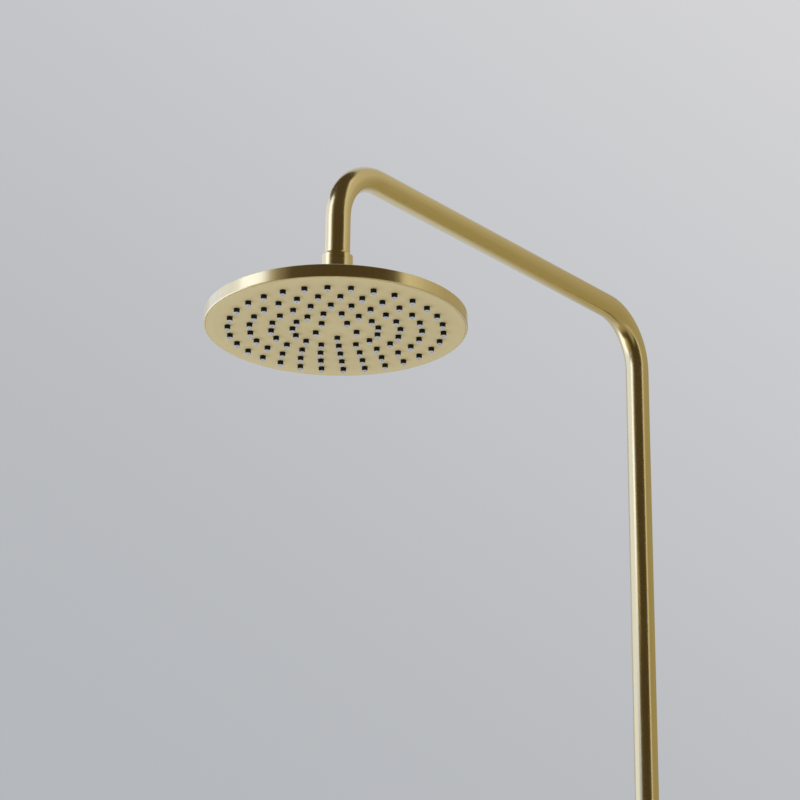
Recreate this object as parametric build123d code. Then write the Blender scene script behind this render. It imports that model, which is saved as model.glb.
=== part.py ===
from build123d import *
from math import cos, pi, radians, sin
import os

# A shower rail set for a wall, in millimetres.
# The origin is the centre of the wall bracket's wall face, +X to the right, +Y into the wall, +Z up.

# Driving dimensions of the tubes and of where they run
TUBE_DIAMETER = 22.0
TUBE_WALL = 1.2
ARM_REACH = 450.0
WALL_STANDOFF = 65.0
ARM_RISE = 560.0
BEND_RADIUS = 52.0
FOOT_DROP = 500.0

# Driving dimensions of the head
HEAD_DIAMETER = 220.0
HEAD_DROP = 153.0
RIM_HEIGHT = 11.0
RIM_WALL = 1.5
RIM_CHAMFER = 0.5
RIM_EDGE = 0.5
TOP_WALL = 1.6
FACE_GROOVE = 0.15
FACE_PROUD = 0.3
FACE_THICKNESS = 1.0
FACE_EDGE = 0.2
JET_PLATE_THICKNESS = 2.0
MAT_THICKNESS = 1.2
SEAL_WIDTH = 2.6
SEAL_THICKNESS = 1.6

# The nozzles: rings of jets, one jet of each ring on the line that points away from the wall
NOZZLES_PER_RING = (5, 15, 20, 25, 30)
NOZZLE_RING_SPACING = 18.0
NOZZLE_DIAMETER = 4.9
NOZZLE_LENGTH = 4.2
NOZZLE_TIP = 0.6
SLEEVE_BORE = 3.0
OUTLET_DIAMETER = 1.6

# The ball joint over the head
BALL_DIAMETER = 24.0
BALL_LIFT = 13.0
BALL_BORE = 9.0
SEAT_THICKNESS = 2.3
UPPER_SEAT_ANGLES = (54.0, 78.0)
LOWER_SEAT_ANGLES = (95.0, 140.0)
SOCKET_LOW_ANGLE = 152.0
BOSS_WALL = 3.0
BOSS_ABOVE_BALL = 1.0
BOSS_FLARE = 3.0
SOCKET_NUT_WALL = 2.5
SOCKET_NUT_TOP = 13.0
SOCKET_NUT_CLEARANCE = 4.0
SOCKET_NUT_CHAMFER = 2.0
SOCKET_NUT_FLARE = 1.0
SOCKET_NUT_GROOVES = 16
SOCKET_NUT_GROOVE_RADIUS = 1.5
SOCKET_NUT_GROOVE_DEPTH = 0.6
STEM_DIAMETER = 13.0
STEM_LENGTH = 21.0

# The collar on the arm's end, over a half-inch pipe thread
COLLAR_DIAMETER = 27.0
COLLAR_LENGTH = 22.0
COLLAR_TOP_CHAMFER = 2.2
COLLAR_LOW_CHAMFER = 1.5
COLLAR_FLOOR = 1.6
COLLAR_TUBE_DEPTH = 2.8
HALF_INCH_THREAD = 20.8
REGULATOR_DIAMETER = 15.9
REGULATOR_THICKNESS = 3.3
REGULATOR_HOLES = 8
REGULATOR_HOLE = 1.6
STRAINER_THICKNESS = 2.0
STRAINER_RIM = 4.3
STRAINER_MESH = 0.5
STRAINER_HOLE = 1.6
STRAINER_HOLES_PER_RING = (6, 12)
NIPPLE_BORE = 15.0
NIPPLE_INSERT = 18.0

# The joint of the two tubes in the wall bracket
SLEEVE_UP = 32.0
SLEEVE_DOWN = 25.0
SLEEVE_INNER = 13.0
O_RING_SECTION = 1.8
O_RING_GROOVE = 2.2
O_RING_HEIGHTS = (12.0, 22.0)
SWIVEL_WASHER = 1.0

# The wall bracket
PLATE_DIAMETER = 50.0
PLATE_THICKNESS = 4.0
PLATE_EDGE = 0.6
POST_DIAMETER = 14.0
POST_LENGTH = 26.0
POST_GROOVE_DEPTH = 1.1
POST_GROOVE_WIDTH = 4.8
POST_END_GAP = 1.0
WALL_SCREW_SPACING = 32.0
WALL_SCREW_HOLE = 5.2
WALL_SCREW_HEAD = 9.6
COVER_DIAMETER = 58.0
COVER_DEPTH = 9.0
COVER_WALL = 1.2
COVER_CHAMFER = 1.5
COVER_SHADOW_GAP = 0.3
BRACKET_STEM_DIAMETER = 18.0
BRACKET_RING_DIAMETER = 32.0
BRACKET_RING_HEIGHT = 32.0
BRACKET_RING_CHAMFER = 1.2
LINER_WALL = 1.44
LINER_HEIGHT = 31.0
SET_SCREW_M5 = 5.0
SET_SCREW_M4 = 4.0
SET_SCREW_M5_TIP = 1.0
SET_SCREW_M4_TIP = 1.4
BRACKET_SCREW_OUT = 14.0
RING_SCREW_HEIGHT = 9.0
RING_SCREW_LENGTH = 3.0

# The slider on the lower tube
SLIDER_DROP = 200.0
SLIDER_SLEEVE_DIAMETER = 33.0
SLIDER_SLEEVE_HEIGHT = 40.0
SLIDER_SLEEVE_CHAMFER = 1.5
BARREL_DIAMETER = 26.0
BARREL_HALF_LENGTH = 24.0
BARREL_CHAMFER = 0.8
BUSH_WALL = 1.94
BUSH_FLANGE_DIAMETER = 30.0
BUSH_FLANGE = 1.2
BUSH_SLIT = 2.0
PAD_DIAMETER = 9.0
PAD_LENGTH = 3.9
STUD_DIAMETER = 8.0
STUD_LENGTH = 19.0
KNOB_DIAMETER = 29.0
KNOB_LENGTH = 15.5
KNOB_GAP = 0.5
KNOB_CHAMFER = 1.5
KNOB_FLUTES = 12
KNOB_FLUTE_RADIUS = 3.0
KNOB_FLUTE_DEPTH = 1.1

# The hand-shower cradle at the slider's left end
CRADLE_TILT = 20.0
CRADLE_OFFSET = 46.0
CRADLE_DIAMETER = 29.0
CRADLE_HEIGHT = 34.0
CRADLE_CHAMFER = 1.0
CRADLE_BORE = 21.6
CRADLE_MOUTH = 24.0
CRADLE_LAND = 12.0
CRADLE_SLOT = 13.0
HUB_DIAMETER = 25.0
PIVOT_WASHER = 1.0
PIVOT_WASHER_DIAMETER = 23.0
PIVOT_SCREW = 6.0
PIVOT_HEAD_DIAMETER = 10.0
PIVOT_HEAD = 3.1
PIVOT_WEB = 5.8
PIVOT_THREAD_DEPTH = 9.0
PIVOT_TIP_GAP = 0.5
PIVOT_HEX = 4.0
PIVOT_HEX_DEPTH = 2.0

# The union at the foot, over a three-quarter-inch pipe thread
UNION_THREAD = 24.12
UNION_THREAD_LENGTH = 11.0
UNION_MOUTH = 1.0
UNION_RELIEF = 25.2
UNION_RELIEF_LENGTH = 6.2
UNION_NECK = 9.8
UNION_FLATS = 30.0
UNION_TOP_CHAMFER = 4.0
TAIL_FLANGE_DIAMETER = 23.9
TAIL_FLANGE = 3.0
TAIL_INSERT = 18.0
UNION_WASHER_BORE = 17.0
UNION_WASHER_DIAMETER = 24.4
UNION_WASHER_THICKNESS = 2.1

# Clearances
RUNNING_GAP = 0.06
FIT_GAP = 0.05
AXIAL_GAP = 0.05
LOOSE_GAP = 0.1
BALL_GAP = 0.15
NUT_END_GAP = 0.2

# Sizes and places that follow from the driving dimensions
TUBE_R = TUBE_DIAMETER / 2
BORE_R = TUBE_R - TUBE_WALL
INSERT_R = BORE_R - FIT_GAP
RISER_Y = -WALL_STANDOFF
HEAD_Y = RISER_Y - ARM_REACH
FACE_Z = ARM_RISE - HEAD_DROP
HEAD_R = HEAD_DIAMETER / 2
WALL_INNER_R = HEAD_R - RIM_WALL
JET_PLATE_TOP = FACE_THICKNESS + JET_PLATE_THICKNESS
LEDGE_Z = JET_PLATE_TOP + SEAL_THICKNESS
JET_PLATE_R = WALL_INNER_R - LOOSE_GAP
SEAL_OUTER_R = JET_PLATE_R - LOOSE_GAP
SEAL_INNER_R = SEAL_OUTER_R - SEAL_WIDTH
CHAMBER_R = SEAL_INNER_R
BALL_R = BALL_DIAMETER / 2
BALL_Z = RIM_HEIGHT + BALL_LIFT
SOCKET_R = BALL_R + BALL_GAP + SEAT_THICKNESS + BALL_GAP
INLET_R = SOCKET_R * sin(radians(SOCKET_LOW_ANGLE))
BOSS_R = SOCKET_R + BOSS_WALL
BOSS_TOP = BALL_Z + BOSS_ABOVE_BALL
SOCKET_NUT_R = BOSS_R + FIT_GAP + SOCKET_NUT_WALL
COLLAR_LOW = BALL_Z + STEM_LENGTH
COLLAR_HIGH = COLLAR_LOW + COLLAR_LENGTH
THREAD_BORE_R = HALF_INCH_THREAD / 2 + FIT_GAP
REGULATOR_R = REGULATOR_DIAMETER / 2
REGULATOR_LOW = COLLAR_LOW + COLLAR_FLOOR
STRAINER_LOW = REGULATOR_LOW + REGULATOR_THICKNESS + LOOSE_GAP
NIPPLE_LOW = STRAINER_LOW + STRAINER_THICKNESS + LOOSE_GAP
TUBE_END = COLLAR_HIGH - COLLAR_TUBE_DEPTH
LINER_BORE_R = TUBE_R + RUNNING_GAP
LINER_R = LINER_BORE_R + LINER_WALL
RING_BORE_R = LINER_R + FIT_GAP
RING_R = BRACKET_RING_DIAMETER / 2
POST_R = POST_DIAMETER / 2
BRACKET_STEM_R = BRACKET_STEM_DIAMETER / 2
STEM_START = PLATE_THICKNESS + LOOSE_GAP
BUSH_R = TUBE_R + RUNNING_GAP + BUSH_WALL
SLIDER_BORE_R = BUSH_R + RUNNING_GAP
PAD_START = BUSH_R + BALL_GAP
STUD_START = PAD_START + PAD_LENGTH + LOOSE_GAP
KNOB_START = BARREL_HALF_LENGTH + KNOB_GAP
HUB_START = BARREL_HALF_LENGTH + PIVOT_WASHER + 2 * LOOSE_GAP
SCREW_SEAT = HUB_START + PIVOT_WEB
FOOT_Z = -FOOT_DROP
FLANGE_LOW = FOOT_Z - TAIL_FLANGE
NUT_SHOULDER = FOOT_Z + NUT_END_GAP
NUT_TOP = NUT_SHOULDER + UNION_NECK
RELIEF_LOW = NUT_SHOULDER - UNION_RELIEF_LENGTH
THREAD_LOW = RELIEF_LOW - UNION_THREAD_LENGTH
NUT_LOW = THREAD_LOW - UNION_MOUTH

ON_HEAD = Pos(0, HEAD_Y, FACE_Z)
ON_RISER = Pos(0, RISER_Y, 0)
ON_SLIDER = Pos(0, RISER_Y, -SLIDER_DROP)
ALONG_X = Rot(0, 90, 0)
ALONG_MINUS_X = Rot(0, -90, 0)
OUT_OF_WALL = Rot(90, 0, 0)


def rod(radius, low, high):
    """A cylinder about the Z axis between two heights."""
    return Pos(0, 0, low) * Cylinder(radius, high - low, align=(Align.CENTER, Align.CENTER, Align.MIN))


def ring(outer, inner, low, high):
    """A plain ring about the Z axis."""
    return rod(outer, low, high) - rod(inner, low, high)


def turned(*points):
    """A piece turned about the Z axis from the (radius, height) corners of its profile, each taken once."""
    corners = [(radius, 0, height) for radius, height in dict.fromkeys(points)]
    return revolve(make_face(Polyline(*corners, close=True)), Axis.Z)


def turned_ring(outer, inner, low, high, low_chamfer, high_chamfer):
    """A ring about the Z axis with its two outer edges chamfered."""
    return turned(
        (inner, low),
        (outer - low_chamfer, low),
        (outer, low + low_chamfer),
        (outer, high - high_chamfer),
        (outer - high_chamfer, high),
        (inner, high),
    )


def on_sphere(radius, angle):
    """A point on a sphere about the ball's centre, at an angle from straight up."""
    return (radius * sin(radians(angle)), 0, BALL_Z + radius * cos(radians(angle)))


def spherical_seat(angles):
    """The zone of a spherical shell round the ball between two angles from straight up."""
    inner = BALL_R + BALL_GAP
    outer = inner + SEAT_THICKNESS
    first, last = angles
    middle = (first + last) / 2
    outline = [
        ThreePointArc(on_sphere(outer, first), on_sphere(outer, middle), on_sphere(outer, last)),
        Line(on_sphere(outer, last), on_sphere(inner, last)),
        ThreePointArc(on_sphere(inner, last), on_sphere(inner, middle), on_sphere(inner, first)),
        Line(on_sphere(inner, first), on_sphere(outer, first)),
    ]
    return revolve(make_face(outline), Axis.Z)


def hex_socket(flats, low, high):
    """The hexagonal recess of a socket screw."""
    outline = RegularPolygon(flats / 2, 6, major_radius=False)
    return Pos(0, 0, low) * extrude(outline, high - low)


def set_screw(diameter, length, tip):
    """A headless socket screw along +Z, its cone tip ending at zero."""
    radius = diameter / 2 - FIT_GAP
    cone = radius - tip
    body = turned((0, 0), (tip, 0), (radius, -cone), (radius, -length), (0, -length))
    return body - hex_socket(diameter / 2, -length, -length / 2)


def nozzle_spots():
    """Where the nozzles are, as locations in the head's plane."""
    spots = []
    for number, count in enumerate(NOZZLES_PER_RING, start=1):
        spots += list(PolarLocations(number * NOZZLE_RING_SPACING, count, start_angle=-90))
    return spots


NOZZLE_SPOTS = nozzle_spots()


def at_nozzles(radius, low, high):
    """A cylinder at each nozzle between two heights."""
    circles = Sketch() + [spot * Circle(radius) for spot in NOZZLE_SPOTS]
    return Pos(0, 0, low) * extrude(circles, high - low)


# The head

def head_shell():
    cup = turned(
        (0, RIM_HEIGHT),
        (0, RIM_HEIGHT - TOP_WALL),
        (CHAMBER_R, RIM_HEIGHT - TOP_WALL),
        (CHAMBER_R, LEDGE_Z),
        (WALL_INNER_R, LEDGE_Z),
        (WALL_INNER_R, FACE_PROUD),
        (HEAD_R - RIM_CHAMFER, FACE_PROUD),
        (HEAD_R, FACE_PROUD + RIM_CHAMFER),
        (HEAD_R, RIM_HEIGHT - RIM_EDGE),
        (HEAD_R - RIM_EDGE, RIM_HEIGHT),
    )
    flare = turned(
        (0, RIM_HEIGHT),
        (BOSS_R + BOSS_FLARE, RIM_HEIGHT),
        (BOSS_R, RIM_HEIGHT + BOSS_FLARE),
        (BOSS_R, BOSS_TOP),
        (0, BOSS_TOP),
    )
    socket = Pos(0, 0, BALL_Z) * Sphere(SOCKET_R)
    socket_floor = BALL_Z + SOCKET_R * cos(radians(SOCKET_LOW_ANGLE))
    hollow = socket & rod(SOCKET_R, socket_floor, BALL_Z)
    entry = rod(SOCKET_R, BALL_Z, BOSS_TOP)
    inlet = rod(INLET_R, 0, BALL_Z)
    return cup + flare - hollow - entry - inlet


def face_plate():
    radius = WALL_INNER_R - FACE_GROOVE
    plate = turned(
        (0, 0),
        (radius - FACE_EDGE, 0),
        (radius, FACE_EDGE),
        (radius, FACE_THICKNESS),
        (0, FACE_THICKNESS),
    )
    return plate - at_nozzles(NOZZLE_DIAMETER / 2 + LOOSE_GAP, 0, FACE_THICKNESS)


def jet_plate():
    plate = rod(JET_PLATE_R, FACE_THICKNESS, JET_PLATE_TOP)
    sleeve_end = NOZZLE_TIP - NOZZLE_LENGTH
    sleeves = at_nozzles(NOZZLE_DIAMETER / 2, sleeve_end, FACE_THICKNESS)
    return plate + sleeves - at_nozzles(SLEEVE_BORE / 2, sleeve_end, JET_PLATE_TOP)


def nozzle_mat():
    sheet = rod(CHAMBER_R - LOOSE_GAP, JET_PLATE_TOP, JET_PLATE_TOP + MAT_THICKNESS)
    sleeve_end = NOZZLE_TIP - NOZZLE_LENGTH
    stems = at_nozzles(SLEEVE_BORE / 2 - FIT_GAP, sleeve_end, JET_PLATE_TOP)
    tips = at_nozzles(NOZZLE_DIAMETER / 2, -NOZZLE_LENGTH, sleeve_end)
    outlets = at_nozzles(OUTLET_DIAMETER / 2, -NOZZLE_LENGTH, JET_PLATE_TOP + MAT_THICKNESS)
    return sheet + stems + tips - outlets


def rim_seal():
    return ring(SEAL_OUTER_R, SEAL_INNER_R, JET_PLATE_TOP, LEDGE_Z)


def socket_nut():
    low = RIM_HEIGHT + SOCKET_NUT_CLEARANCE
    high = BALL_Z + SOCKET_NUT_TOP
    shoulder = BOSS_TOP + NUT_END_GAP
    nut = turned_ring(SOCKET_NUT_R, 0, low, high, RIM_EDGE, SOCKET_NUT_CHAMFER)
    skirt = rod(BOSS_R + FIT_GAP, low, shoulder)
    socket = Pos(0, 0, BALL_Z) * Sphere(SOCKET_R)
    mouth_r, _, mouth_z = on_sphere(SOCKET_R, UPPER_SEAT_ANGLES[0])
    mouth = turned((0, mouth_z), (mouth_r, mouth_z), (mouth_r + SOCKET_NUT_FLARE, high), (0, high))
    groove_out = SOCKET_NUT_R + SOCKET_NUT_GROOVE_RADIUS - SOCKET_NUT_GROOVE_DEPTH
    grooves = [
        spot * rod(SOCKET_NUT_GROOVE_RADIUS, low, high)
        for spot in PolarLocations(groove_out, SOCKET_NUT_GROOVES)
    ]
    return nut - skirt - (socket & rod(SOCKET_R, shoulder, mouth_z)) - mouth - grooves


def ball_connector():
    ball = Pos(0, 0, BALL_Z) * Sphere(BALL_R)
    stem = rod(STEM_DIAMETER / 2, BALL_Z, COLLAR_LOW + COLLAR_FLOOR)
    collar = turned_ring(
        COLLAR_DIAMETER / 2, 0, COLLAR_LOW, COLLAR_HIGH, COLLAR_LOW_CHAMFER, COLLAR_TOP_CHAMFER
    )
    waterway = rod(BALL_BORE / 2, BALL_Z - BALL_R, COLLAR_HIGH)
    regulator_seat = rod(REGULATOR_R + FIT_GAP, REGULATOR_LOW, COLLAR_HIGH)
    thread = rod(THREAD_BORE_R, STRAINER_LOW, COLLAR_HIGH)
    tube_seat = rod(TUBE_R + LOOSE_GAP, TUBE_END, COLLAR_HIGH)
    return ball + stem + collar - waterway - regulator_seat - thread - tube_seat


def flow_regulator():
    disc = rod(REGULATOR_R, REGULATOR_LOW, REGULATOR_LOW + REGULATOR_THICKNESS)
    spots = PolarLocations(BALL_BORE / 2 - REGULATOR_HOLE, REGULATOR_HOLES)
    holes = [
        spot * rod(REGULATOR_HOLE / 2, REGULATOR_LOW, REGULATOR_LOW + REGULATOR_THICKNESS)
        for spot in spots
    ]
    return disc - holes


def strainer_washer():
    outer = THREAD_BORE_R - LOOSE_GAP
    inner = outer - STRAINER_RIM
    rim = ring(outer, inner, STRAINER_LOW, STRAINER_LOW + STRAINER_THICKNESS)
    mesh = rod(inner, STRAINER_LOW, STRAINER_LOW + STRAINER_MESH)
    pitch = inner / (len(STRAINER_HOLES_PER_RING) + 1)
    spots = [Pos(0, 0)]
    for number, count in enumerate(STRAINER_HOLES_PER_RING, start=1):
        spots += list(PolarLocations(number * pitch, count))
    holes = [
        spot * rod(STRAINER_HOLE / 2, STRAINER_LOW, STRAINER_LOW + STRAINER_MESH) for spot in spots
    ]
    return rim + mesh - holes


def arm_nipple():
    thread = rod(HALF_INCH_THREAD / 2, NIPPLE_LOW, TUBE_END)
    insert = rod(INSERT_R, TUBE_END, TUBE_END + NIPPLE_INSERT)
    return thread + insert - rod(NIPPLE_BORE / 2, NIPPLE_LOW, TUBE_END + NIPPLE_INSERT)


# The tubes

def riser_arm_tube():
    start = (0, HEAD_Y, FACE_Z + TUBE_END)
    end = (0, RISER_Y, SWIVEL_WASHER / 2 + AXIAL_GAP)
    path = FilletPolyline(
        start, (0, HEAD_Y, ARM_RISE), (0, RISER_Y, ARM_RISE), end, radius=BEND_RADIUS
    )
    section = Plane(origin=start, z_dir=(0, 0, 1)) * (Circle(TUBE_R) - Circle(BORE_R))
    tube = sweep(section, path=path)
    wall_area = pi * (TUBE_R**2 - BORE_R**2)
    print("riser_arm_tube volume over section times length", tube.volume / (wall_area * path.length))
    return tube


def lower_riser_tube():
    return ring(TUBE_R, BORE_R, FOOT_Z, -SWIVEL_WASHER / 2)


def joint_sleeve():
    sleeve = ring(INSERT_R, SLEEVE_INNER / 2, -SLEEVE_DOWN, SLEEVE_UP)
    floor = BORE_R - O_RING_SECTION - 2 * FIT_GAP
    for height in O_RING_HEIGHTS:
        sleeve -= ring(TUBE_R, floor, height - O_RING_GROOVE / 2, height + O_RING_GROOVE / 2)
    return sleeve


def sleeve_o_rings():
    middle = BORE_R - FIT_GAP - O_RING_SECTION / 2
    return [Pos(0, 0, height) * Torus(middle, O_RING_SECTION / 2) for height in O_RING_HEIGHTS]


def swivel_washer():
    return ring(TUBE_R - FIT_GAP, INSERT_R + LOOSE_GAP, -SWIVEL_WASHER / 2, SWIVEL_WASHER / 2)


# The wall bracket, its turned pieces drawn along Z out of the wall

def bracket_plate():
    plate = turned_ring(PLATE_DIAMETER / 2, 0, 0, PLATE_THICKNESS, 0, PLATE_EDGE)
    post_end = PLATE_THICKNESS + POST_LENGTH
    post = turned_ring(POST_R, 0, 0, post_end, 0, PLATE_EDGE)
    half = POST_GROOVE_WIDTH / 2
    groove = turned(
        (POST_R + POST_GROOVE_DEPTH, BRACKET_SCREW_OUT - half - POST_GROOVE_DEPTH),
        (POST_R - POST_GROOVE_DEPTH, BRACKET_SCREW_OUT - half + POST_GROOVE_DEPTH),
        (POST_R - POST_GROOVE_DEPTH, BRACKET_SCREW_OUT + half - POST_GROOVE_DEPTH),
        (POST_R + POST_GROOVE_DEPTH, BRACKET_SCREW_OUT + half + POST_GROOVE_DEPTH),
    )
    hole = rod(WALL_SCREW_HOLE / 2, 0, PLATE_THICKNESS)
    head_depth = (WALL_SCREW_HEAD - WALL_SCREW_HOLE) / 2
    sink = turned(
        (0, PLATE_THICKNESS - head_depth),
        (WALL_SCREW_HOLE / 2, PLATE_THICKNESS - head_depth),
        (WALL_SCREW_HEAD / 2, PLATE_THICKNESS),
        (0, PLATE_THICKNESS),
    )
    body = plate + post - groove
    for side in (-1, 1):
        body -= Pos(side * WALL_SCREW_SPACING / 2, 0, 0) * (hole + sink)
    return OUT_OF_WALL * body


def bracket_cover():
    outer = COVER_DIAMETER / 2
    hole = BRACKET_STEM_R + LOOSE_GAP
    inner = outer - COVER_WALL
    back = COVER_DEPTH - COVER_WALL
    cover = turned(
        (inner, COVER_SHADOW_GAP),
        (outer, COVER_SHADOW_GAP),
        (outer, COVER_DEPTH - COVER_CHAMFER),
        (outer - COVER_CHAMFER, COVER_DEPTH),
        (hole, COVER_DEPTH),
        (hole, back),
        (inner - COVER_CHAMFER, back),
        (inner, back - COVER_CHAMFER),
    )
    return OUT_OF_WALL * cover


def bracket_ring():
    half = BRACKET_RING_HEIGHT / 2
    body = turned_ring(RING_R, 0, -half, half, BRACKET_RING_CHAMFER, BRACKET_RING_CHAMFER)
    stem = OUT_OF_WALL * rod(BRACKET_STEM_R, STEM_START, WALL_STANDOFF)
    post_end = PLATE_THICKNESS + POST_LENGTH + POST_END_GAP
    post_bore = OUT_OF_WALL * rod(POST_R + FIT_GAP, STEM_START, post_end)
    screw_hole = Pos(0, -BRACKET_SCREW_OUT, 0) * rod(SET_SCREW_M5 / 2, -BRACKET_STEM_DIAMETER, 0)
    body = ON_RISER * body + stem - post_bore - screw_hole - ON_RISER * rod(RING_BORE_R, -half, half)
    for side in (-1, 1):
        hole = ALONG_X * rod(SET_SCREW_M4 / 2, 0, BRACKET_RING_DIAMETER)
        body -= ON_RISER * Pos(0, 0, side * RING_SCREW_HEIGHT) * hole
    return body


def ring_liner():
    return ring(LINER_R, LINER_BORE_R, -LINER_HEIGHT / 2, LINER_HEIGHT / 2)


def bracket_set_screw():
    tip_height = -(POST_R - POST_GROOVE_DEPTH) - LOOSE_GAP
    length = BRACKET_STEM_R + tip_height - LOOSE_GAP
    screw = set_screw(SET_SCREW_M5, length, SET_SCREW_M5_TIP)
    return Pos(0, -BRACKET_SCREW_OUT, tip_height) * screw


def ring_set_screws():
    screw = ALONG_MINUS_X * set_screw(SET_SCREW_M4, RING_SCREW_LENGTH, SET_SCREW_M4_TIP)
    out = LINER_R + LOOSE_GAP
    return [Pos(out, 0, side * RING_SCREW_HEIGHT) * screw for side in (-1, 1)]


# The slider, drawn about the point where its two barrels cross

def slider_body():
    half = SLIDER_SLEEVE_HEIGHT / 2
    sleeve = turned_ring(
        SLIDER_SLEEVE_DIAMETER / 2, 0, -half, half, SLIDER_SLEEVE_CHAMFER, SLIDER_SLEEVE_CHAMFER
    )
    barrel = ALONG_X * turned_ring(
        BARREL_DIAMETER / 2, 0, -BARREL_HALF_LENGTH, BARREL_HALF_LENGTH, BARREL_CHAMFER, BARREL_CHAMFER
    )
    bore = rod(SLIDER_BORE_R, -half, half)
    pad_bore = ALONG_X * rod(PAD_DIAMETER / 2 + LOOSE_GAP, 0, STUD_START)
    stud_bore = ALONG_X * rod(STUD_DIAMETER / 2, 0, BARREL_HALF_LENGTH)
    pivot_bore = ALONG_MINUS_X * rod(
        PIVOT_SCREW / 2, BARREL_HALF_LENGTH - PIVOT_THREAD_DEPTH, BARREL_HALF_LENGTH
    )
    return sleeve + barrel - bore - pad_bore - stud_bore - pivot_bore


def slider_bush():
    half = SLIDER_SLEEVE_HEIGHT / 2 + AXIAL_GAP
    end = half + BUSH_FLANGE
    bush = rod(BUSH_R, -end, end)
    for side in (-1, 1):
        low, high = sorted((side * half, side * end))
        bush += rod(BUSH_FLANGE_DIAMETER / 2, low, high)
    slit = Pos(0, BUSH_FLANGE_DIAMETER / 2, 0) * Box(BUSH_SLIT, BUSH_FLANGE_DIAMETER, 2 * end)
    return bush - rod(TUBE_R + RUNNING_GAP, -end, end) - slit


def clamp_pad():
    return ALONG_X * rod(PAD_DIAMETER / 2, PAD_START, PAD_START + PAD_LENGTH)


def knob_stud():
    return ALONG_X * rod(STUD_DIAMETER / 2 - FIT_GAP, STUD_START, STUD_START + STUD_LENGTH)


def lock_knob():
    end = KNOB_START + KNOB_LENGTH
    knob = turned_ring(KNOB_DIAMETER / 2, 0, KNOB_START, end, KNOB_CHAMFER, KNOB_CHAMFER)
    flute_out = KNOB_DIAMETER / 2 + KNOB_FLUTE_RADIUS - KNOB_FLUTE_DEPTH
    flutes = [
        spot * rod(KNOB_FLUTE_RADIUS, KNOB_START, end)
        for spot in PolarLocations(flute_out, KNOB_FLUTES)
    ]
    socket = rod(STUD_DIAMETER / 2, KNOB_START, STUD_START + STUD_LENGTH + LOOSE_GAP)
    return ALONG_X * (knob - flutes - socket)


def pivot_washer():
    low = BARREL_HALF_LENGTH + LOOSE_GAP
    washer = ring(PIVOT_WASHER_DIAMETER / 2, PIVOT_SCREW / 2 + LOOSE_GAP, low, low + PIVOT_WASHER)
    return ALONG_MINUS_X * washer


def pivot_screw():
    seat = SCREW_SEAT + AXIAL_GAP
    top = seat + PIVOT_HEAD
    tip = BARREL_HALF_LENGTH - PIVOT_THREAD_DEPTH + PIVOT_TIP_GAP
    head = rod(PIVOT_HEAD_DIAMETER / 2, seat, top)
    shank = rod(PIVOT_SCREW / 2 - FIT_GAP, tip, top)
    return ALONG_MINUS_X * (head + shank - hex_socket(PIVOT_HEX, top - PIVOT_HEX_DEPTH, top))


def hand_shower_cradle():
    half = CRADLE_HEIGHT / 2
    bore_r = CRADLE_BORE / 2
    cup = turned_ring(CRADLE_DIAMETER / 2, 0, -half, half, CRADLE_CHAMFER, CRADLE_CHAMFER)
    hollow = turned(
        (0, -half),
        (bore_r, -half),
        (bore_r, CRADLE_LAND - half),
        (CRADLE_MOUTH / 2, half),
        (0, half),
    )
    slot = Pos(0, -CRADLE_DIAMETER / 2, 0) * Box(CRADLE_SLOT, CRADLE_DIAMETER, CRADLE_HEIGHT)
    hub = ALONG_MINUS_X * turned_ring(HUB_DIAMETER / 2, 0, HUB_START, CRADLE_OFFSET, CRADLE_CHAMFER, 0)
    head_recess = ALONG_MINUS_X * rod(PIVOT_HEAD_DIAMETER / 2 + LOOSE_GAP, SCREW_SEAT, CRADLE_OFFSET)
    shank_hole = ALONG_MINUS_X * rod(PIVOT_SCREW / 2 + FIT_GAP, HUB_START, CRADLE_OFFSET)
    at_cup = Pos(-CRADLE_OFFSET, 0, 0)
    cradle = at_cup * cup + hub - at_cup * (hollow + slot) - head_recess - shank_hole
    return Rot(CRADLE_TILT, 0, 0) * cradle


# The union at the foot

def foot_tailpiece():
    flange = rod(TAIL_FLANGE_DIAMETER / 2, FLANGE_LOW, FOOT_Z)
    insert = rod(INSERT_R, FOOT_Z, FOOT_Z + TAIL_INSERT)
    return flange + insert - rod(NIPPLE_BORE / 2, FLANGE_LOW, FOOT_Z + TAIL_INSERT)


def union_nut():
    hexagon = Pos(0, 0, NUT_LOW) * extrude(
        RegularPolygon(UNION_FLATS / 2, 6, major_radius=False), NUT_TOP - NUT_LOW
    )
    corner_r = UNION_FLATS / 2 / cos(radians(30))
    blank = turned_ring(corner_r, 0, NUT_LOW, NUT_TOP, UNION_MOUTH, UNION_TOP_CHAMFER)
    neck = rod(TUBE_R + RUNNING_GAP, NUT_SHOULDER, NUT_TOP)
    relief = rod(UNION_RELIEF / 2, RELIEF_LOW, NUT_SHOULDER)
    thread = rod(UNION_THREAD / 2, THREAD_LOW, RELIEF_LOW)
    mouth = turned(
        (0, NUT_LOW),
        (UNION_THREAD / 2 + UNION_MOUTH, NUT_LOW),
        (UNION_THREAD / 2, THREAD_LOW),
        (0, THREAD_LOW),
    )
    return (hexagon & blank) - neck - relief - thread - mouth


def union_washer():
    high = FLANGE_LOW - AXIAL_GAP
    return ring(UNION_WASHER_DIAMETER / 2, UNION_WASHER_BORE / 2, high - UNION_WASHER_THICKNESS, high)


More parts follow.
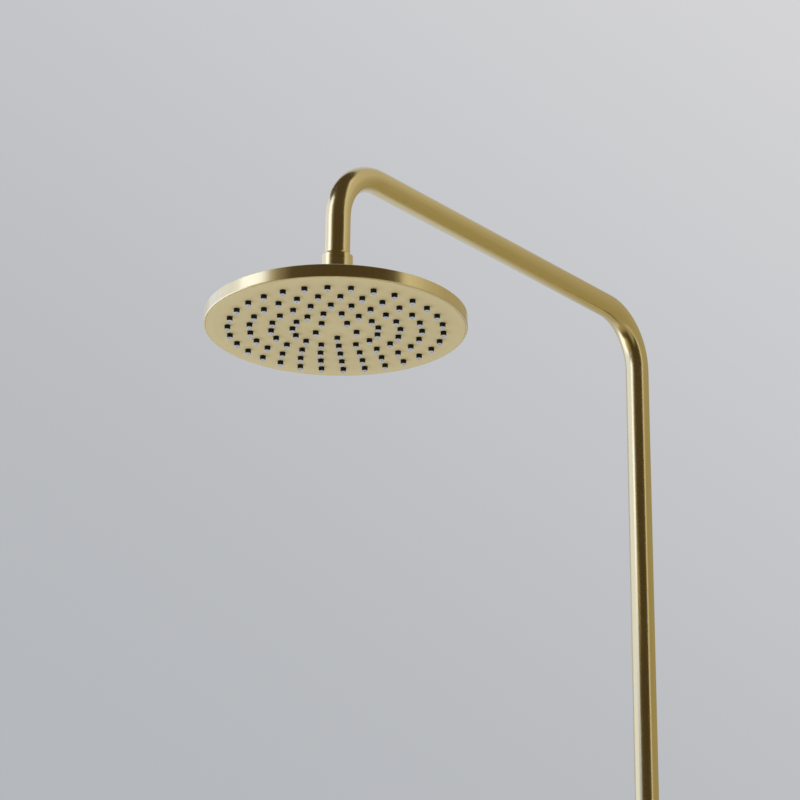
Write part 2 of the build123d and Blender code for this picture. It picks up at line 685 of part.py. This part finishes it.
# Every piece, by where it is drawn
HEAD_PIECES = (
    head_shell,
    face_plate,
    jet_plate,
    nozzle_mat,
    rim_seal,
    socket_nut,
    ball_connector,
    flow_regulator,
    strainer_washer,
    arm_nipple,
)
RISER_PIECES = (
    lower_riser_tube,
    joint_sleeve,
    sleeve_o_rings,
    swivel_washer,
    ring_liner,
    ring_set_screws,
    foot_tailpiece,
    union_nut,
    union_washer,
)
WALL_PIECES = (riser_arm_tube, bracket_plate, bracket_cover, bracket_ring, bracket_set_screw)
SLIDER_PIECES = (
    slider_body,
    slider_bush,
    clamp_pad,
    knob_stud,
    lock_knob,
    pivot_washer,
    pivot_screw,
    hand_shower_cradle,
)


def solids_of(made):
    """The separate solids of what a piece's function returns."""
    shapes = made if isinstance(made, list) else [made]
    return [solid for shape in shapes for solid in shape.solids()]


def save(name, solids):
    """Writes one node's solids to its file."""
    for solid in solids:
        solid.label = name
    shape = solids[0] if len(solids) == 1 else Compound(children=solids, label=name)
    export_step(shape, f"parts/{name}.step")
    print(name, len(solids), "solid(s)", round(sum(solid.volume for solid in solids), 1), "mm3")


def build():
    """Makes every piece in its place and writes it."""
    os.makedirs("parts", exist_ok=True)
    for place, pieces in (
        (ON_HEAD, HEAD_PIECES),
        (ON_RISER, RISER_PIECES),
        (Pos(0, 0, 0), WALL_PIECES),
        (ON_SLIDER, SLIDER_PIECES),
    ):
        for piece in pieces:
            save(piece.__name__, [place * solid for solid in solids_of(piece())])
    for name, angles in (("ball_seat_upper", UPPER_SEAT_ANGLES), ("ball_seat_lower", LOWER_SEAT_ANGLES)):
        save(name, [ON_HEAD * solid for solid in spherical_seat(angles).solids()])


build()
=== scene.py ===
from math import cos, pi, radians, sin

import bpy
from mathutils import Matrix, Vector


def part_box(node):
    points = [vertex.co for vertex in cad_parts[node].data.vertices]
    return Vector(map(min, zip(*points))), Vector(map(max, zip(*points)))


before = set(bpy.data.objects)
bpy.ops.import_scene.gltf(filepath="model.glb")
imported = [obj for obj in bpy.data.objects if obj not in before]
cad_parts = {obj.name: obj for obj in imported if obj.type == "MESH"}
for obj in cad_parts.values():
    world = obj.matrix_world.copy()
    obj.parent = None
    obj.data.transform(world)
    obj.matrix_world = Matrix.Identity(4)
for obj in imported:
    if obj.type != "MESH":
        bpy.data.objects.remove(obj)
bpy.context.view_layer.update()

# The camera, as the photograph was taken: from below, in front and to the right
CAMERA_PLACE = (1.3295, -2.0639, -0.4241)
CAMERA_AZIMUTH = 39.12
CAMERA_PITCH = 20.63
CAMERA_ROLL = 0.61
CAMERA_LENS = 118.96
SENSOR_WIDTH = 36.0
CLIP_START, CLIP_END = 0.05, 200.0

# Places that the CAD model gives
TUBE_LOW, TUBE_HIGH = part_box("lower_riser_tube")
ARM_LOW, ARM_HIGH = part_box("riser_arm_tube")
FACE_LOW, FACE_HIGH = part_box("face_plate")
TUBE_RADIUS = (TUBE_HIGH.x - TUBE_LOW.x) / 2
RISER_Y = (TUBE_LOW.y + TUBE_HIGH.y) / 2
HEAD_Y = (FACE_LOW.y + FACE_HIGH.y) / 2
ARM_Z = ARM_HIGH.z - TUBE_RADIUS
BEND_RADIUS = 0.052

# Colours, as linear red, green and blue
GOLD = (0.87, 0.69, 0.31)
FACE_GOLD = (0.95, 0.80, 0.41)
BRASS = (0.80, 0.62, 0.30)
STEEL = (0.62, 0.61, 0.59)
BLACK = (0.009, 0.009, 0.010)
RUBBER = (0.018, 0.018, 0.019)
SILICONE = (0.76, 0.76, 0.80)
ACETAL = (0.78, 0.77, 0.73)
FLOOR = (0.62, 0.625, 0.64)
WALL_LOW = (0.462, 0.479, 0.503)
WALL_HIGH = (0.755, 0.746, 0.755)
WALL_LIGHT = (0.74, 0.745, 0.76)
WALL_SLOPE = Vector((0.57, 0.82, 0.0))

# Satin metal: how wide and long its hairlines and its broad streaks are, and how far its tone and its
# roughness spread
HAIRLINE_WIDTH, HAIRLINE_LENGTH = 0.0004, 0.020
STREAK_WIDTH, STREAK_LENGTH = 0.0030, 0.150
CLOUD_SCALE = 14.0
TONE_SPREAD = 0.04
LINE_ROUGHNESS_SPREAD, CLOUD_ROUGHNESS_SPREAD = 0.035, 0.02
BARE_ROUGHNESS = 0.3
SLANT_ALONG_ARM = 0.7
TURN_LENGTH = 0.02
NOISE_LOW, NOISE_HIGH = 0.3, 0.7
EDGE_SAMPLES = 6

# Moulded plastic and rubber: the scale of its slow change, and how far its tone and its roughness spread
SHEEN_SCALE = 90.0
MOULDED_TONE_SPREAD, MOULDED_ROUGHNESS_SPREAD = 0.08, 0.06

# The floor, far below the object, so that it hides nothing in a view from below
FLOOR_Z = -5.0
FLOOR_SIDE = 80.0
FLOOR_CLOUD_SCALE = 0.35
FLOOR_TONE_SPREAD = 0.015

# The point that lamps and cards are set about
MIDDLE = Vector((0.0, -0.3, 0.2))

# Where the backdrop's low tone ends and its high tone starts, up and to the right of the view
WALL_START, WALL_END = -0.2, 0.45

# What the metal mirrors, as linear radiance
SHADE = Vector((0.055, 0.04, 0.02))
# Painted warm bounce light: the gold's own light on near walls and floor, also the tone of the painted shadow
# on the wall card
PAINTED_GOLD_BOUNCE = Vector((0.34, 0.31, 0.21))
WINDOW = Vector((0.80, 0.95, 1.60))
KEY = Vector((1.25, 1.50, 2.60))
WALL_FAR = Vector((0.85, 0.85, 0.90))
WALL_LEFT = Vector((0.54, 0.60, 0.80))
WALL_BEHIND = Vector((0.60, 0.60, 0.62))
WALL_RIGHT = Vector((0.67, 0.67, 0.67))

# The cards: their distances from the middle, their heights, and how finely a curved one is divided
FRONT_DISTANCE, WINDOW_DISTANCE, KEY_DISTANCE = 1.9, 2.5, 1.245
ROOM_FLOOR_Z, FRONT_FOOT_Z, ROOM_CEILING_Z, FRONT_TOP_Z = -2.2, -0.35, 2.6, 7.0
RIGHT_EDGE = 89.5
ROOM_LEFT, CEILING_RIGHT, ROOM_FRONT = -6.0, 1.1, -6.0
WALL_Y = 0.002
CARD_STEPS = 48


class Look:
    """A material as it is made: its Principled shader and short ways to add nodes."""

    def __init__(self, name):
        self.material = bpy.data.materials.new(name)
        self.material.use_nodes = True
        self.tree = self.material.node_tree
        self.shader = self.tree.nodes["Principled BSDF"]
        self.coordinates = self.node("ShaderNodeTexCoord")

    def node(self, kind, **settings):
        made = self.tree.nodes.new(kind)
        for name, value in settings.items():
            setattr(made, name, value)
        return made

    def feed(self, socket, value):
        """Links an output to a socket, or sets the socket to a plain value."""
        if isinstance(value, bpy.types.NodeSocket):
            self.tree.links.new(value, socket)
        else:
            socket.default_value = value

    def math(self, operation, *values):
        made = self.node("ShaderNodeMath", operation=operation)
        for socket, value in zip(made.inputs, values):
            self.feed(socket, value)
        return made.outputs[0]

    def place(self):
        """The x, y and z of the point being shaded, in the frame at rest."""
        parts = self.node("ShaderNodeSeparateXYZ")
        self.feed(parts.inputs[0], self.coordinates.outputs["Object"])
        return parts.outputs

    def vector(self, x, y, z):
        made = self.node("ShaderNodeCombineXYZ")
        for socket, value in zip(made.inputs, (x, y, z)):
            self.feed(socket, value)
        return made.outputs[0]

    def distance(self, a, b):
        """How far a point is from an axis, from its two places across it."""
        return self.math("SQRT", self.math("ADD", self.math("MULTIPLY", a, a), self.math("MULTIPLY", b, b)))

    def noise(self, vector, scale, detail=2.0):
        made = self.node("ShaderNodeTexNoise")
        self.feed(made.inputs["Vector"], vector)
        made.inputs["Scale"].default_value = scale
        made.inputs["Detail"].default_value = detail
        return made.outputs["Fac"]

    def spread(self, value, low, high):
        """Maps noise about its middle to a range."""
        made = self.node("ShaderNodeMapRange")
        self.feed(made.inputs["Value"], value)
        made.inputs["From Min"].default_value, made.inputs["From Max"].default_value = NOISE_LOW, NOISE_HIGH
        made.inputs["To Min"].default_value, made.inputs["To Max"].default_value = low, high
        return made.outputs[0]

    def tint(self, colour, value):
        """The colour, scaled by a value that varies."""
        made = self.node("ShaderNodeVectorMath", operation="SCALE")
        made.inputs[0].default_value = colour
        self.feed(made.inputs["Scale"], value)
        return made.outputs[0]

    def bump(self, height, depth, edge=0.0):
        """Surface relief of a real depth, over edges rounded to a real radius."""
        made = self.node("ShaderNodeBump")
        made.inputs["Distance"].default_value = depth
        self.feed(made.inputs["Height"], height)
        if edge:
            rounded = self.node("ShaderNodeBevel", samples=EDGE_SAMPLES)
            rounded.inputs["Radius"].default_value = edge
            self.feed(made.inputs["Normal"], rounded.outputs[0])
        self.feed(self.shader.inputs["Normal"], made.outputs[0])


def along_tube(look):
    """Coordinates that follow the bent tube: two across it, from its centreline, and one along it."""
    x, y, z = look.place()
    half = (RISER_Y - HEAD_Y) / 2 - BEND_RADIUS
    from_middle = look.math("ABSOLUTE", look.math("SUBTRACT", y, (RISER_Y + HEAD_Y) / 2))
    side = look.math("SUBTRACT", from_middle, half)
    rise = look.math("SUBTRACT", z, ARM_Z - BEND_RADIUS)
    outside = look.distance(look.math("MAXIMUM", side, 0.0), look.math("MAXIMUM", rise, 0.0))
    inside = look.math("MINIMUM", look.math("MAXIMUM", side, rise), 0.0)
    outward = look.math("SUBTRACT", look.math("ADD", outside, inside), BEND_RADIUS)
    return x, outward, look.math("SUBTRACT", look.math("MULTIPLY", y, SLANT_ALONG_ARM), z)


def turned_about(centre, axis):
    """Coordinates for a piece turned in a lathe: distance from its axis, place along it, and a slow turn
    round it."""
    def coordinates(look):
        parts = look.place()
        others = [i for i in range(3) if i != axis]
        a, b = (look.math("SUBTRACT", parts[i], centre[i]) for i in others)
        turn = look.math("MULTIPLY", look.math("ARCTAN2", b, a), TURN_LENGTH)
        return look.distance(a, b), parts[axis], turn
    return coordinates


def straight_along(axis):
    """Coordinates for a grain that runs straight along one axis."""
    def coordinates(look):
        parts = look.place()
        others = [i for i in range(3) if i != axis]
        return parts[others[0]], parts[others[1]], parts[axis]
    return coordinates


def brushed(
    name, colour, coordinates, roughness=0.21, edge=0.0003, relief=0.0000012, metal=1.0, grain=1.0
):
    """Satin metal: fine hairlines and broad faint streaks along the last coordinate."""
    look = Look(name)
    across_a, across_b, along = coordinates(look)

    def lines(width, length):
        return look.vector(
            look.math("MULTIPLY", across_a, 1 / width),
            look.math("MULTIPLY", across_b, 1 / width),
            look.math("MULTIPLY", along, 1 / length),
        )

    hairline = look.noise(lines(HAIRLINE_WIDTH, HAIRLINE_LENGTH), 1.0, 3.0)
    streak = look.noise(lines(STREAK_WIDTH, STREAK_LENGTH), 1.0, 2.0)
    cloud = look.noise(look.coordinates.outputs["Object"], CLOUD_SCALE, 3.0)
    mixed = look.math("ADD", look.math("MULTIPLY", hairline, 0.5), look.math("MULTIPLY", streak, 0.5))
    tone = look.spread(mixed, 1 - TONE_SPREAD * grain, 1 + TONE_SPREAD * grain)
    look.feed(look.shader.inputs["Base Color"], look.tint(colour, tone))
    line_rough = look.spread(mixed, -LINE_ROUGHNESS_SPREAD, LINE_ROUGHNESS_SPREAD)
    cloud_rough = look.spread(cloud, -CLOUD_ROUGHNESS_SPREAD, CLOUD_ROUGHNESS_SPREAD)
    rough = look.math("ADD", line_rough, cloud_rough)
    look.feed(look.shader.inputs["Roughness"], look.math("ADD", rough, roughness))
    look.shader.inputs["Metallic"].default_value = metal
    look.bump(hairline, relief, edge)
    return look.material


def moulded(name, colour, roughness, grain=0.0006, relief=0.00001, edge=0.0002, sheen=0.5):
    """Moulded plastic or rubber: a fine even grain and slow changes in its sheen."""
    look = Look(name)
    object_place = look.coordinates.outputs["Object"]
    fine = look.noise(object_place, 1 / grain, 2.0)
    slow = look.noise(object_place, SHEEN_SCALE, 2.0)
    tone = look.spread(slow, 1 - MOULDED_TONE_SPREAD, 1 + MOULDED_TONE_SPREAD)
    rough = look.spread(slow, -MOULDED_ROUGHNESS_SPREAD, MOULDED_ROUGHNESS_SPREAD)
    look.feed(look.shader.inputs["Base Color"], look.tint(colour, tone))
    look.feed(look.shader.inputs["Roughness"], look.math("ADD", rough, roughness))
    look.shader.inputs["Specular IOR Level"].default_value = sheen
    look.bump(fine, relief, edge)
    return look.material


def centre_of(node):
    low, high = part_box(node)
    return (low + high) / 2


def dress(material, *nodes):
    """Gives CAD nodes their material."""
    for node in nodes:
        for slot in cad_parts[node].material_slots:
            slot.material = material


def dress_all():
    head = centre_of("head_shell")
    bracket = centre_of("bracket_cover")
    slider = centre_of("slider_body")
    foot = centre_of("foot_tailpiece")
    dress(brushed("gold_tube", GOLD, along_tube), "riser_arm_tube", "lower_riser_tube")
    dress(brushed("gold_upright", GOLD, straight_along(2)), "head_shell", "bracket_ring", "union_nut")
    dress(
        brushed("gold_face", FACE_GOLD, turned_about(head, 2), roughness=0.8, metal=0.25, grain=0.4),
        "face_plate",
    )
    dress(brushed("gold_turned", GOLD, turned_about(head, 2), edge=0.0001), "ball_connector", "socket_nut")
    dress(brushed("gold_cover", GOLD, turned_about(bracket, 1)), "bracket_cover")
    dress(brushed("gold_slider", GOLD, straight_along(2)), "slider_body")
    dress(brushed("gold_knob", GOLD, turned_about(slider, 0)), "lock_knob")
    dress(brushed("gold_cradle", GOLD, straight_along(2)), "hand_shower_cradle")
    dress(
        brushed("bare_brass_turned", BRASS, turned_about(foot, 2), roughness=BARE_ROUGHNESS),
        "foot_tailpiece",
        "joint_sleeve",
    )
    dress(brushed("bare_brass_nipple", BRASS, turned_about(head, 2), roughness=BARE_ROUGHNESS), "arm_nipple")
    dress(
        brushed("steel_turned", STEEL, turned_about(bracket, 1), roughness=BARE_ROUGHNESS),
        "bracket_plate",
        "bracket_set_screw",
    )
    dress(
        brushed("steel_screws", STEEL, straight_along(0), roughness=BARE_ROUGHNESS),
        "ring_set_screws",
        "knob_stud",
        "pivot_screw",
    )
    dress(moulded("black_sleeves", BLACK, 0.5, sheen=0.15), "jet_plate")
    dress(moulded("black_plastic", BLACK, 0.38), "pivot_washer", "ring_liner", "slider_bush")
    dress(
        moulded("black_rubber", RUBBER, 0.55),
        "rim_seal",
        "sleeve_o_rings",
        "union_washer",
        "ball_seat_lower",
    )
    dress(moulded("grey_silicone", SILICONE, 0.42), "nozzle_mat")
    dress(
        moulded("white_acetal", ACETAL, 0.40),
        "ball_seat_upper",
        "flow_regulator",
        "strainer_washer",
        "swivel_washer",
        "clamp_pad",
    )


def make_camera():
    azimuth, pitch, roll = (radians(a) for a in (CAMERA_AZIMUTH, CAMERA_PITCH, CAMERA_ROLL))
    level = Vector((-sin(azimuth), cos(azimuth), 0))
    forward = cos(pitch) * level + sin(pitch) * Vector((0, 0, 1))
    right = Vector((cos(azimuth), sin(azimuth), 0))
    up = right.cross(forward)
    rolled_right = cos(roll) * right + sin(roll) * up
    rolled_up = cos(roll) * up - sin(roll) * right
    data = bpy.data.cameras.new("camera")
    data.sensor_width = SENSOR_WIDTH
    data.lens = CAMERA_LENS
    data.clip_start, data.clip_end = CLIP_START, CLIP_END
    camera = bpy.data.objects.new("camera", data)
    bpy.context.scene.collection.objects.link(camera)
    turn = Matrix((rolled_right, rolled_up, -forward)).transposed().to_4x4()
    camera.matrix_world = Matrix.Translation(CAMERA_PLACE) @ turn
    bpy.context.scene.camera = camera
    return camera


def add_mesh(name, corners, faces, material):
    mesh = bpy.data.meshes.new(name)
    mesh.from_pydata(corners, [], faces)
    mesh.materials.append(material)
    made = bpy.data.objects.new(name, mesh)
    bpy.context.scene.collection.objects.link(made)
    return made


def make_floor():
    look = Look("floor_paint")
    cloud = look.noise(look.coordinates.outputs["Object"], FLOOR_CLOUD_SCALE, 3.0)
    tone = look.spread(cloud, 1 - FLOOR_TONE_SPREAD, 1 + FLOOR_TONE_SPREAD)
    look.feed(look.shader.inputs["Base Color"], look.tint(FLOOR, tone))
    look.shader.inputs["Roughness"].default_value = 0.9
    half = FLOOR_SIDE / 2
    corners = [(-half, -half, FLOOR_Z), (half, -half, FLOOR_Z), (half, half, FLOOR_Z), (-half, half, FLOOR_Z)]
    add_mesh("floor", corners, [(0, 1, 2, 3)], look.material)


def glow(name):
    """Light that takes its colour from the mesh."""
    material = bpy.data.materials.new(name)
    material.use_nodes = True
    tree = material.node_tree
    tree.nodes.clear()
    shade = tree.nodes.new("ShaderNodeAttribute")
    shade.attribute_name = "shade"
    light = tree.nodes.new("ShaderNodeEmission")
    out = tree.nodes.new("ShaderNodeOutputMaterial")
    tree.links.new(shade.outputs["Color"], light.inputs["Color"])
    tree.links.new(light.outputs[0], out.inputs["Surface"])
    return material


def between(stops, place):
    """The colour or strength at a place, from stops of place and value."""
    for (before, first), (after, last) in zip(stops, stops[1:]):
        if before <= place < after:
            return first + (last - first) * (place - before) / (after - before)
    return stops[0][1] if place < stops[0][0] else stops[-1][1]


def add_card(name, columns):
    """A studio card that only mirrors light, unseen by the camera, from columns of corners and their
    colours."""
    rows = len(columns[0])
    corners = [corner for column in columns for corner, colour in column]
    starts = [rows * i + j for i in range(len(columns) - 1) for j in range(rows - 1)]
    card = add_mesh(name, corners, [(k, k + rows, k + rows + 1, k + 1) for k in starts], glow(name))
    attribute = card.data.color_attributes.new("shade", "FLOAT_COLOR", "POINT")
    for i, colour in enumerate(colour for column in columns for corner, colour in column):
        attribute.data[i].color = (*colour, 1.0)
    card.visible_camera = card.visible_diffuse = card.visible_shadow = card.visible_transmission = False


def make_card(name, distance, colours, levels):
    """An upright curved card about the object's middle, through stops of azimuth and colour, with its
    strength at each height. Azimuth 0 is in front and 90 to the right."""
    first, last = colours[0][0], colours[-1][0]
    columns = []
    for i in range(CARD_STEPS + 1):
        azimuth = first + (last - first) * i / CARD_STEPS
        across, out = distance * sin(radians(azimuth)), distance * cos(radians(azimuth))
        colour = between(colours, azimuth)
        foot_x, foot_y = MIDDLE.x + across, MIDDLE.y - out
        columns.append([((foot_x, foot_y, height), colour * level) for height, level in levels])
    add_card(name, columns)


def make_wall_card():
    """A flat card on the wall: cool to the left, pale to the right, and behind the object a painted shadow of
    the object, dim and warm with painted gold bounce light, most so low down."""
    stops = (
        (-4.0, WALL_FAR, 0.0),
        (-0.25, WALL_LEFT, 0.0),
        (0.0, WALL_BEHIND, 1.0),
        (0.40, WALL_BEHIND, 1.0),
        (2.0, WALL_RIGHT, 0.0),
        (8.0, WALL_RIGHT, 0.0),
    )
    heights = ((ROOM_FLOOR_Z, 1.0), (0.45, 1.0), (1.0, 0.4), (ROOM_CEILING_Z, 0.4))
    columns = []
    # Each column's share of the painted shadow of the object, tinted with painted gold bounce, strongest low
    # behind the object
    for x, colour, painted_shade in stops:
        columns.append([((x, WALL_Y, z), colour.lerp(PAINTED_GOLD_BOUNCE, painted_shade * share)) for z, share in heights])
    add_card("wall_card", columns)


def make_level_card(name, sides, stops, height):
    """A flat level card, between two sides, through stops of y and colour."""
    add_card(name, [[((x, y, height), colour) for y, colour in stops] for x in sides])


def make_lamp(name, azimuth, elevation, distance, width, height, radiance, colour):
    """A soft box that faces the object's middle, as bright as a white wall of that radiance."""
    turn, lift = radians(azimuth), radians(elevation)
    back = Vector((sin(turn) * cos(lift), -cos(turn) * cos(lift), sin(lift)))
    data = bpy.data.lights.new(name, "AREA")
    data.shape = "RECTANGLE"
    data.size, data.size_y = width, height
    data.energy = radiance * pi * width * height
    data.color = colour
    lamp = bpy.data.objects.new(name, data)
    lamp.location = MIDDLE + back * distance
    lamp.rotation_euler = back.to_track_quat("Z", "Y").to_euler()
    bpy.context.scene.collection.objects.link(lamp)
    return lamp


def make_world(camera):
    """A pale wall that brightens up and to the right, as the camera and reflections see it, and an even
    light for matt surfaces."""
    world = bpy.data.worlds.new("room")
    bpy.context.scene.world = world
    world.use_nodes = True
    tree = world.node_tree
    tree.nodes.clear()

    def node(kind, *links, **settings):
        made = tree.nodes.new(kind)
        for name, value in settings.items():
            setattr(made, name, value)
        for socket, source in links:
            tree.links.new(source, made.inputs[socket])
        return made

    place = node("ShaderNodeTexCoord")
    side = node("ShaderNodeVectorMath", (0, place.outputs["Generated"]), operation="DOT_PRODUCT")
    side.inputs[1].default_value = camera.matrix_world.to_3x3() @ WALL_SLOPE
    share = node("ShaderNodeMapRange", ("Value", side.outputs["Value"]), interpolation_type="SMOOTHSTEP")
    share.inputs["From Min"].default_value, share.inputs["From Max"].default_value = WALL_START, WALL_END
    tone = node("ShaderNodeMix", ("Factor", share.outputs[0]), data_type="RGBA")
    tone.inputs["A"].default_value, tone.inputs["B"].default_value = (*WALL_LOW, 1), (*WALL_HIGH, 1)
    seen = node("ShaderNodeBackground", ("Color", tone.outputs["Result"]))
    light = node("ShaderNodeBackground")
    light.inputs["Color"].default_value = (*WALL_LIGHT, 1)
    path = node("ShaderNodeLightPath")
    either = path.outputs["Is Camera Ray"]
    for name in ("Is Glossy Ray", "Is Transmission Ray"):
        either = node("ShaderNodeMath", (0, either), (1, path.outputs[name]), operation="MAXIMUM").outputs[0]
    mix = node("ShaderNodeMixShader", (0, either), (1, light.outputs[0]), (2, seen.outputs[0]))
    node("ShaderNodeOutputWorld", ("Surface", mix.outputs[0]))


def make_front():
    """The room in front, which is dark, and its foot, which is dim gold to the sides; that gold, and the gold
    on the floor card beneath the object, is painted warm bounce light from the gold.
    """
    front = ((-30, SHADE), (RIGHT_EDGE, SHADE))
    make_card("dark_card", FRONT_DISTANCE, front, ((FRONT_FOOT_Z, 1.0), (FRONT_TOP_Z, 1.0)))
    low_light = ((-50, PAINTED_GOLD_BOUNCE * 2), (10, SHADE), (45, SHADE), (65, PAINTED_GOLD_BOUNCE), (RIGHT_EDGE, PAINTED_GOLD_BOUNCE))
    make_card("low_card", FRONT_DISTANCE, low_light, ((ROOM_FLOOR_Z, 1.0), (FRONT_FOOT_Z, 1.0)))
    dark = ((ROOM_FRONT, SHADE), (0.0, SHADE))
    make_level_card("dark_ceiling", (ROOM_LEFT, CEILING_RIGHT), dark, ROOM_CEILING_Z)
    # Dark in front, and painted warm gold bounce light on the floor card beneath the object
    painted_shade = ((-2.2, SHADE), (-1.2, SHADE), (-0.6, PAINTED_GOLD_BOUNCE), (0.0, PAINTED_GOLD_BOUNCE))
    make_level_card("dim_floor", (-FRONT_DISTANCE, FRONT_DISTANCE), painted_shade, ROOM_FLOOR_Z)


def make_window():
    """The tall window to the left, and the bright strip beside it, which fades to the dark front."""
    window_levels = ((ROOM_FLOOR_Z, 1.5), (0.0, 1.5), (0.35, 1.0), (3.1, 1.0))
    make_card("left_card", WINDOW_DISTANCE, ((-140, WINDOW), (-38, WINDOW)), window_levels)
    # The strip fades through painted warm gold bounce light to the dark front
    key_light = ((-40.0, KEY), (-19.5, KEY), (-12.5, PAINTED_GOLD_BOUNCE), (1.0, SHADE))
    make_card("key_card", KEY_DISTANCE, key_light, ((0.0, 0.3), (0.40, 0.3), (0.80, 1.0), (1.75, 1.0)))


def make_key_lamp():
    """The window's light on matt surfaces. The cards are what the metal mirrors, so reflections miss it."""
    lamp = make_lamp(
        "key_strip",
        azimuth=-33,
        elevation=20,
        distance=2.4,
        width=0.88,
        height=3.6,
        radiance=2.3,
        colour=(0.90, 0.97, 1.0),
    )
    lamp.visible_glossy = False


def make_studio():
    """Dark in front, a tall window with a bright strip to the left, and a pale wall behind."""
    make_front()
    make_window()
    make_wall_card()
    make_key_lamp()
    make_floor()


def main():
    scene = bpy.context.scene
    scene.view_settings.view_transform = "Standard"
    make_world(make_camera())
    make_studio()
    dress_all()


main()
